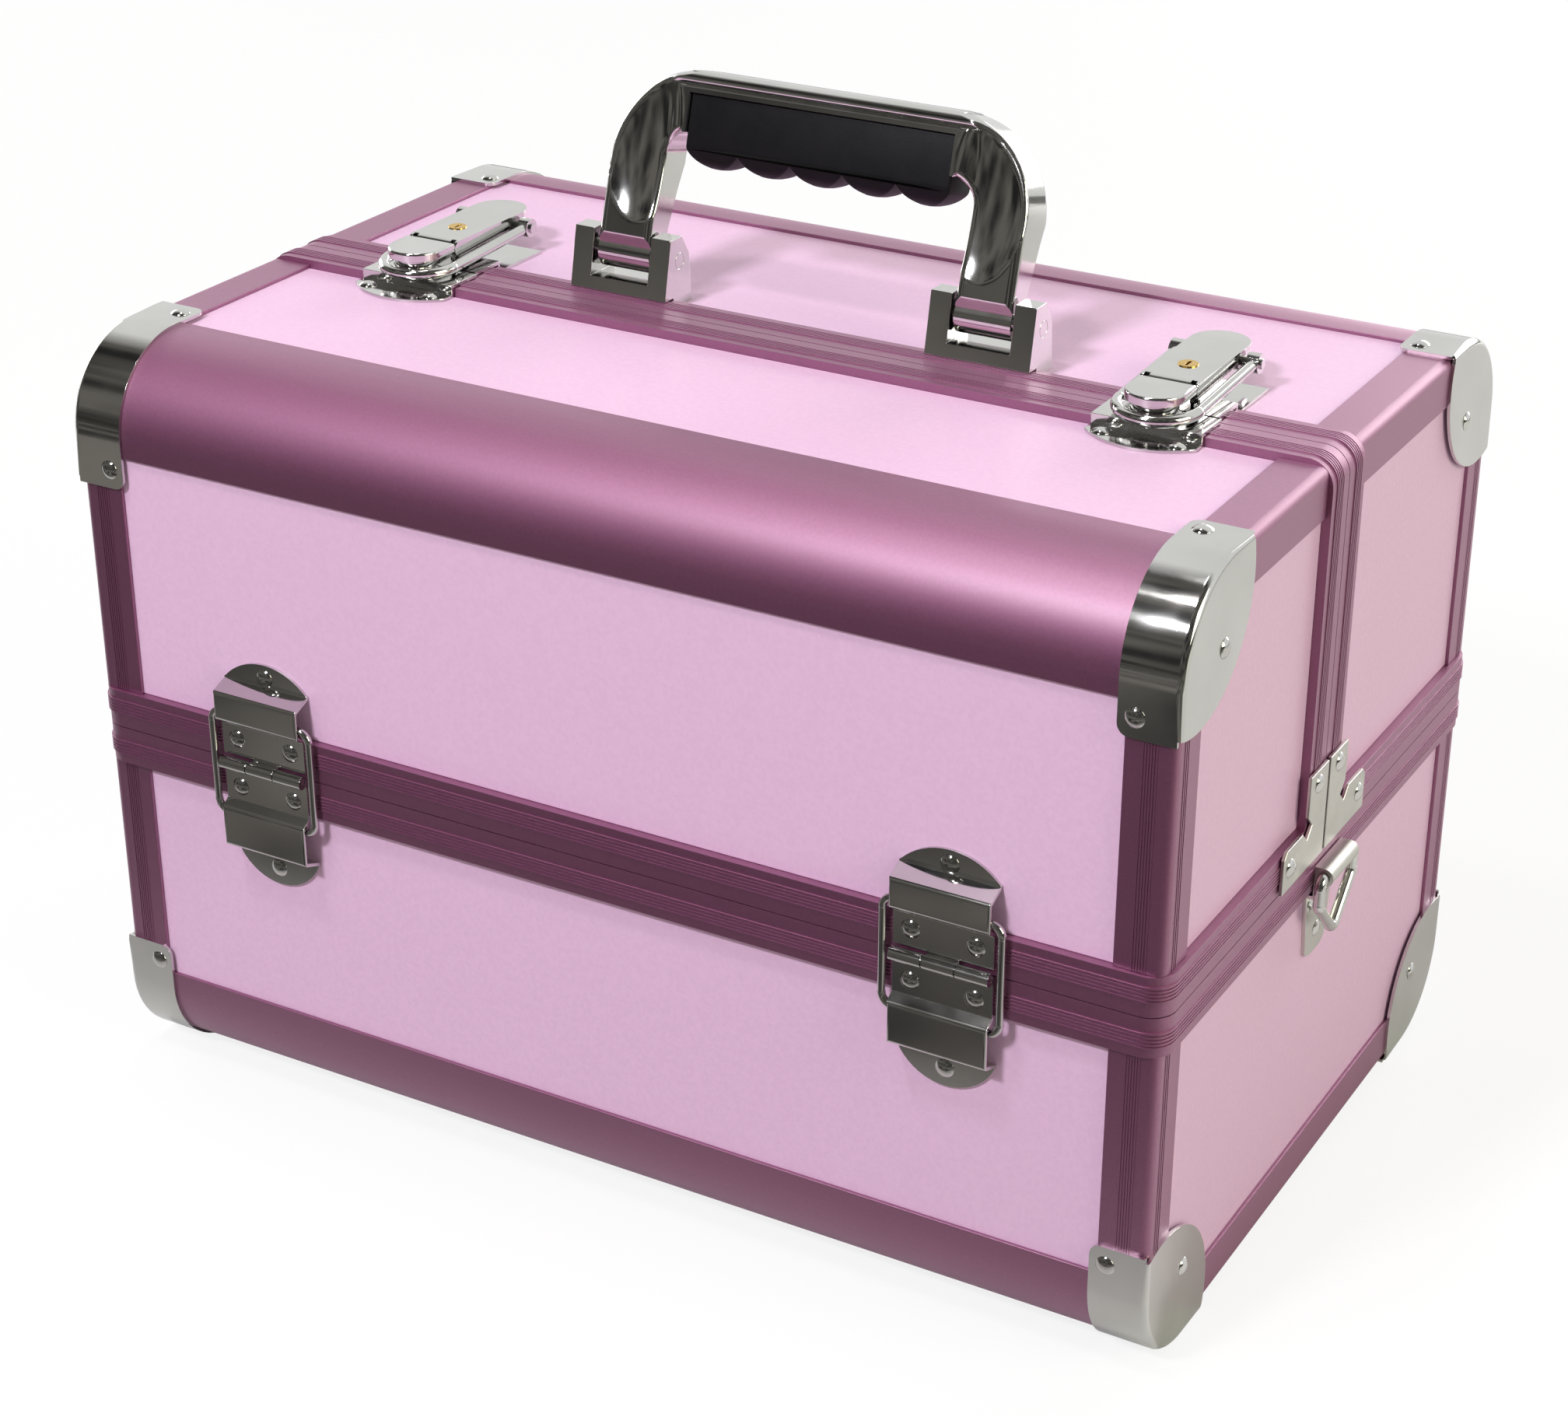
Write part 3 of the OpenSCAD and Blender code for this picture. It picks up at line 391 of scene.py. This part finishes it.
def hand_over(piece, name, smooth=30, keep_flats=True):
    """Smooths the piece, gives it its finish, and puts it in the place of its node."""
    bpy.ops.object.shade_smooth_by_angle(angle=math.radians(smooth))
    if keep_flats:
        flats = piece.modifiers.new("flats", "WEIGHTED_NORMAL")
        flats.keep_sharp = True
        bpy.ops.object.modifier_apply(modifier=flats.name)
    piece.data.materials.clear()
    piece.data.materials.append(FINISH[slot_of_node[name]])
    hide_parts(name)
    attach(piece, body_of_node[name])


# %% Soften the plain nodes
# Widths of the broken edges in mm, by finish
EDGE_WIDTH = {
    "pink_laminate": 0.3, "mauve_frame": 0.25, "chrome_hardware": 0.3, "satin_steel": 0.3,
    "grip_plastic": 0.8, "key_brass": 0.2, "lining_cloth": 0.3, "bottom_board": 0.3, "tray_plastic": 0.4,
}
caps = ["base_corner_caps", "front_lid_corner_caps", "rear_lid_corner_caps"]
rims = ["base_rim", "front_lid_rim", "rear_lid_rim"]
latch = ["latch_catches", "latch_lever_left", "latch_lever_right"]
posts = ["base_end_frames", "front_lid_end_frames", "rear_lid_end_frames"]
rivets = ["base_rivets", "front_lid_rivets", "rear_lid_rivets"]
leaves = ["hinge_lower_leaves", "front_hinge_leaves", "rear_hinge_leaves"]
handle_nodes = ["handle_frame", "handle_grip", "handle_brackets"]
modelled_apart = {*caps, *rims, *latch, *posts, *rivets, *leaves, *handle_nodes}
for name in sorted(set(frame["nodes"]) - modelled_apart):
    plain = merged_copy(name)
    round_sharp(EDGE_WIDTH[slot_of_node[name]])
    hand_over(plain, name)

# %% [markdown]
# ## Rims
# The rims are extrusions with five fine ridges on each half of the belt. Their ridges are only half a
# millimetre wide, so a much smaller bevel keeps them crisp, and each ridge draws its own bright line.

# %% Dress the rims
ridge_edge = 0.1
for name in rims:
    rim = merged_copy(name)
    round_sharp(ridge_edge)
    hand_over(rim, name)
print("rims:", rims)

# %% [markdown]
# ## Posts
# Each corner post is an extrusion with a band of fine ribs on both its outer faces. They could be a bump
# in the finish, but then they would be lost in the mesh. Here every rib is a strip that is cut into the
# face and pulled out by a fifth of a millimetre, so it draws a thin line of light.

# %% Measures of the posts
frame_half_w = 180 * MM
frame_half_d = 119 * MM
frame_half = (frame_half_w, frame_half_d)
in_plane = 0.05 * MM
rib_height = 0.2 * MM
# By the axis that a face looks along, 1 for front and rear and 0 for the ends: the count of ribs, the
# distance of the first from the corner, their pitch and their width
rib_bands = {1: (6, 5.4 * MM, 0.8 * MM, 0.45 * MM), 0: (3, 4.6 * MM, 1.2 * MM, 0.6 * MM)}


def is_outer(face, axis):
    """True for a face in the outer plane of the frame that looks along an axis."""
    off_plane = abs(abs(face.center[axis]) - frame_half[axis])
    return abs(face.normal[axis]) > 0.99 and off_plane < in_plane


def to_corner(face, axis):
    """Distance of a face's middle from the corner of the frame, along its plane."""
    return frame_half[1 - axis] - abs(face.center[1 - axis])


print("half width and depth of the frame", frame_half)

# %% Rib the posts
for name in posts:
    post = merged_copy(name)
    round_sharp(EDGE_WIDTH["mauve_frame"])
    bpy.context.tool_settings.mesh_select_mode = (False, False, True)
    pulled = 0
    for axis, (count, start, pitch, width) in rib_bands.items():
        ribs = [(start + i * pitch, start + i * pitch + width) for i in range(count)]
        across = Vector((axis, 1 - axis, 0))
        for cut in (edge for rib in ribs for edge in rib):
            for side in (-1, 1):
                select_none()
                for face in post.data.polygons:
                    face.select = is_outer(face, axis)
                bpy.ops.object.mode_set(mode="EDIT")
                at = side * (frame_half[1 - axis] - cut)
                bpy.ops.mesh.bisect(plane_co=at * across, plane_no=across)
                bpy.ops.object.mode_set(mode="OBJECT")
        for side in (-1, 1):
            select_none()
            for face in post.data.polygons:
                in_rib = any(low < to_corner(face, axis) < high for low, high in ribs)
                face.select = in_rib and is_outer(face, axis) and face.normal[axis] * side > 0
                pulled += face.select
            bpy.ops.object.mode_set(mode="EDIT")
            outward = side * rib_height * Vector((1 - axis, axis, 0))
            bpy.ops.mesh.extrude_region_move(TRANSFORM_OT_translate={"value": outward})
            bpy.ops.object.mode_set(mode="OBJECT")
    bpy.context.tool_settings.mesh_select_mode = (False, True, False)
    hand_over(post, name)
    print(name, "ribs", pulled, "faces", len(post.data.polygons))

# %% [markdown]
# ## Rivets
# The rivets have broad, flattened heads. The measured heads are a little narrow, so each one is taken
# apart from the rest, widened in its own plane about its own middle, and joined up again. Scaling the
# whole piece at once would move the heads off the sheets that they hold. Pins that something turns on
# are thicker than a head and keep their size.

# %% Widen the rivets
head_edge = 0.15
head_widening = 1.22
head_thickness = 2 * MM
for name in rivets:
    heads = merged_copy(name)
    round_sharp(head_edge)
    bpy.ops.object.mode_set(mode="EDIT")
    bpy.ops.mesh.separate(type="LOOSE")
    bpy.ops.object.mode_set(mode="OBJECT")
    bpy.ops.object.origin_set(type="ORIGIN_GEOMETRY", center="BOUNDS")
    count = 0
    for head in bpy.context.selected_objects:
        size = list(head.dimensions)
        shaft = size.index(min(size))
        if size[shaft] < head_thickness:
            head.scale = [1 if axis == shaft else head_widening for axis in range(3)]
            count += 1
    bpy.ops.object.join()
    heads = bpy.context.active_object
    bpy.ops.object.transform_apply(location=True, rotation=True, scale=True)
    hand_over(heads, name)
    print(name, "heads", count)

# %% [markdown]
# ## Hinge leaves
# A leaf is bent out to a raised band that holds the wire ring. Bent sheet has no sharp fold, so the
# edges of the band get a wider bevel that shows as a bright line. They are found by their place: apart
# from the knuckles, the band is the outermost plane of the leaf.

# %% Round the bands of the leaves
hinge_height = 121 * MM
knuckle_reach = 10 * MM
band_plane = 0.02 * MM
band_round = 0.9 * MM
leaf_sharp = 40


def off_knuckle(co):
    """True away from the knuckles, which stand out even further than the band."""
    return abs(co.z - hinge_height) > knuckle_reach


for name in leaves:
    leaf = merged_copy(name)
    outermost = max(abs(corner.co.y) for corner in leaf.data.vertices if off_knuckle(corner.co))
    folds = pick_edges(leaf, lambda co: off_knuckle(co) and outermost - abs(co.y) < band_plane, 15)
    bpy.ops.mesh.bevel(offset=band_round, segments=4, affect="EDGES", clamp_overlap=True)
    bpy.ops.object.mode_set(mode="OBJECT")
    round_sharp(EDGE_WIDTH["chrome_hardware"], sharp=leaf_sharp)
    hand_over(leaf, name)
    print(name, "band edges", folds, "faces", len(leaf.data.polygons))

# %% [markdown]
# ## Corner caps
# A cap is pressed from one sheet: a leaf on the end wall, folded over to a leaf that follows the
# rounded edge. A bevel on the solid would be held back by the thin sheet, so only its outer faces are
# kept, their fold is rounded, the loose corners are rounded too, and Solidify gives the sheet back.

# %% Measures of a cap
frame_bottom, frame_top = 1 * MM, 245 * MM
edge_radius = 28 * MM
cap_sheet = 1 * MM
cap_width, cap_reach = 17 * MM, 43 * MM
fold_radius = 2.2 * MM
corner_radius = 3.5 * MM
cap_edge = 0.25
skin_slack, leaf_slack, end_slack = 0.12 * MM, 0.02 * MM, 0.3 * MM


def from_corner(co):
    """Distances of a point from the outer planes of the frame at its nearest corner: x, depth, height."""
    height = min(co.z - frame_bottom, frame_top - co.z)
    return frame_half_w - abs(co.x), frame_half_d - abs(co.y), height


def on_outer_skin(co):
    """True on the outer face of the leaf that follows the rounded edge."""
    _, depth, height = from_corner(co)
    if depth < edge_radius and height < edge_radius:
        off = math.hypot(edge_radius - depth, edge_radius - height) - edge_radius
    else:
        off = max(-depth, -height)
    return abs(off - cap_sheet) < skin_slack


def on_end_leaf(co):
    """True on the outer face of the leaf on the end wall."""
    return abs(co.x) > frame_half_w + cap_sheet - leaf_slack


def is_loose_corner(co):
    """True at the corners of the rounded leaf away from the fold."""
    along, depth, height = from_corner(co)
    at_end = abs(max(depth, height) - cap_reach) < end_slack
    return at_end and abs(along - cap_width) < end_slack


print("cap width and reach", cap_width, cap_reach)

# %% Fold the caps
for name in caps:
    cap = merged_copy(name)
    bpy.context.tool_settings.mesh_select_mode = (False, False, True)
    for face in cap.data.polygons:
        corners = [cap.data.vertices[i].co for i in face.vertices]
        outer = all(map(on_end_leaf, corners)) or all(map(on_outer_skin, corners))
        face.select = not outer
    bpy.ops.object.mode_set(mode="EDIT")
    bpy.ops.mesh.delete(type="FACE")
    select_none()
    bpy.context.tool_settings.mesh_select_mode = (True, False, False)
    for corner in cap.data.vertices:
        corner.select = is_loose_corner(corner.co)
    bpy.ops.object.mode_set(mode="EDIT")
    bpy.ops.mesh.bevel(offset=corner_radius, segments=6, affect="VERTICES", clamp_overlap=True)
    bpy.ops.object.mode_set(mode="OBJECT")
    bpy.context.tool_settings.mesh_select_mode = (False, True, False)
    folded = pick_edges(cap, lambda co: on_end_leaf(co) and on_outer_skin(co))
    bpy.ops.mesh.bevel(offset=fold_radius, segments=6, affect="EDGES", clamp_overlap=False)
    bpy.ops.object.mode_set(mode="OBJECT")
    sheet = cap.modifiers.new("sheet", "SOLIDIFY")
    sheet.thickness = cap_sheet
    sheet.offset = -1
    bpy.ops.object.modifier_apply(modifier=sheet.name)
    round_sharp(cap_edge, sharp=50)
    hand_over(cap, name, smooth=25)
    print(name, "fold edges", folded, "faces", len(cap.data.polygons))

# %% [markdown]
# ## Handle
# The cast handle is rounded all over. The front of each leg is scooped out above a slanting crease, so
# the polish breaks into a bright field and a dark foot. A boolean with a ball fails on the rounded
# edges, so the front is cut into a fine grid first and the grid is pushed in to the shape of the ball.

# %% Places on the handle
handle_lean = math.radians(16)
handle_pivot = Vector((0, 6.5, 258)) * MM
lean_back = Matrix.Rotation(-handle_lean, 3, "X")
handle_front = -6.5
socket_half, socket_low, socket_high = 45.2, 38.7, 51.2
foot_reach = 8


def on_handle(along, out, up):
    """The place of a point given along the handle, out of its plane and up from its pivot, in mm."""
    return handle_pivot + lean_back @ (Vector((along, out, up)) * MM)


def from_handle(co):
    """Along the handle, out of its plane and up from its pivot, in mm."""
    return (lean_back.inverted() @ (co - handle_pivot)) / MM


def away_from_fits(co):
    """True away from the foot, which turns in its bracket, and from the socket of the grip."""
    along, out, up = from_handle(co)
    in_socket = abs(along) < socket_half and socket_low < up < socket_high
    return math.hypot(out, up) > foot_reach and not in_socket


print("handle pivot", handle_pivot[:])

# %% Round the frame
handle = merged_copy("handle_frame")
casting_round = 2.4
rounded = pick_edges(handle, away_from_fits, 32)
bpy.ops.mesh.bevel(offset=casting_round * MM, segments=10, affect="EDGES", clamp_overlap=False)
bpy.ops.object.mode_set(mode="OBJECT")
print("handle edges rounded", rounded, "faces", len(handle.data.polygons))

# %% Measures of the scoop
leg_low, leg_high = 5, 56
leg_inner, leg_outer = 46, 71
grid_step = 0.8
front_slack = 0.05
scoop_along, scoop_up = 58.5, 35.5
scoop_half_w, scoop_half_h = 16.1, 31
scoop_bulge, scoop_stand = 7.5, 4.2
scoop_fade = 6


def cut_front(depth, at, across):
    """Cuts the faces that lie less than a depth behind the front of the legs, along a plane."""
    select_none()
    places = [from_handle(corner.co) for corner in handle.data.vertices]
    for face in handle.data.polygons:
        corners = [places[i] for i in face.vertices]
        on_leg = any(abs(c.x) > leg_inner for c in corners) and any(c.z > leg_low for c in corners)
        face.select = on_leg and all(c.y < handle_front + depth for c in corners)
    bpy.ops.object.mode_set(mode="EDIT")
    bpy.ops.mesh.bisect(plane_co=at, plane_no=across)
    bpy.ops.object.mode_set(mode="OBJECT")


def scoop(along, up):
    """How far the scoop goes in behind the flat front, in mm."""
    inside = 1 - ((along - scoop_along) / scoop_half_w) ** 2 - ((up - scoop_up) / scoop_half_h) ** 2
    depth = max(0, math.sqrt(max(0, inside)) * scoop_bulge - scoop_stand)
    return depth * min(1, max(0, (along - leg_inner) / scoop_fade))


print("scoop", scoop_bulge - scoop_stand, "mm deep")

# %% Push the fronts in
bpy.context.tool_settings.mesh_select_mode = (False, False, True)
upward = lean_back @ Vector((0, 0, 1))
for i in range(math.ceil((leg_high - leg_low) / grid_step)):
    cut_front(casting_round + front_slack, on_handle(0, 0, leg_low + i * grid_step), upward)
for i in range(math.ceil((leg_outer - leg_inner) / grid_step)):
    for side in (-1, 1):
        cut_front(front_slack, on_handle(side * (leg_inner + i * grid_step), 0, 0), (1, 0, 0))
for corner in handle.data.vertices:
    along, out, up = from_handle(corner.co)
    share = min(1, max(0, (handle_front + scoop_fade - out) / scoop_fade))
    corner.co = on_handle(along, out + share * scoop(abs(along), up), up)
bpy.context.tool_settings.mesh_select_mode = (False, True, False)
hand_over(handle, "handle_frame", smooth=13)
print("handle faces", len(handle.data.polygons))

# %% [markdown]
# ## Grip and brackets
# The grip is moulded, and its finger waves run into its sides with no line between them, so it is
# smoothed across wider angles than the metal pieces. The brackets are cast, with softer edges than
# pressed sheet.

# %% Round the grip and the brackets
grip_round, bracket_round = 1.4, 0.8
grip = merged_copy("handle_grip")
round_sharp(grip_round, segments=4, sharp=25)
hand_over(grip, "handle_grip", smooth=50, keep_flats=False)
bracket = merged_copy("handle_brackets")
round_sharp(bracket_round, segments=4, sharp=25)
hand_over(bracket, "handle_brackets")
print("grip faces", len(grip.data.polygons))

# %% [markdown]
# ## Latches
# Lever and hook are thick pressings with a polished, well rounded top edge. The edges at the top are
# found by their height and get a wider bevel, and all the others keep a narrow one.

# %% Round the tops of the latches
latch_top = 256.5 * MM
top_slack = 0.02 * MM
top_round = 0.8 * MM
latch_edge = 0.2
for name in latch:
    part = merged_copy(name)
    found = pick_edges(part, lambda co: abs(co.z - latch_top) < top_slack)
    bpy.ops.mesh.bevel(offset=top_round, segments=4, affect="EDGES", clamp_overlap=True)
    bpy.ops.object.mode_set(mode="OBJECT")
    round_sharp(latch_edge, sharp=50)
    hand_over(part, name, smooth=28)
    print(name, "top edges", found)
